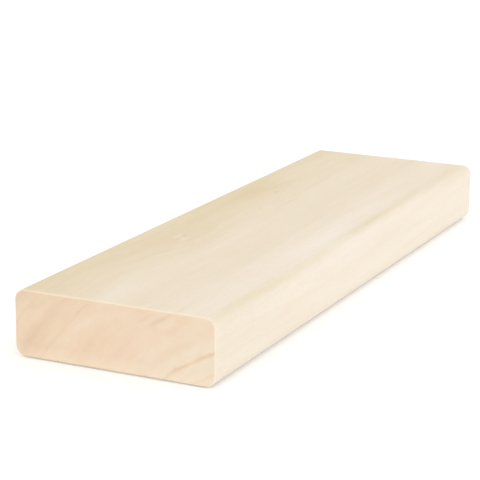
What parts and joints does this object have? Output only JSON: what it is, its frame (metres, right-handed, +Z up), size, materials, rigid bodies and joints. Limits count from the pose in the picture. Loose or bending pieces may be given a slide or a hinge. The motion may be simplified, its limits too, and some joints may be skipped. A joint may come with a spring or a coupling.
{
  "type": "timber plank",
  "caption": "Short planed timber board with rounded long edges and square-sawn, lightly eased ends, lying flat.",
  "frame": {"origin": "middle of the underside, which lies on the floor", "axes": "+X along the board and its grain, from the near end to the far end; +Y across its width; +Z up through its thickness"},
  "size_m": [0.305, 0.09, 0.028],
  "materials": {
    "planed_wood": "planed and sanded, unfinished pale wood"
  },
  "bodies": {
    "root": {"plank": "planed_wood"}
  },
  "joints": []
}
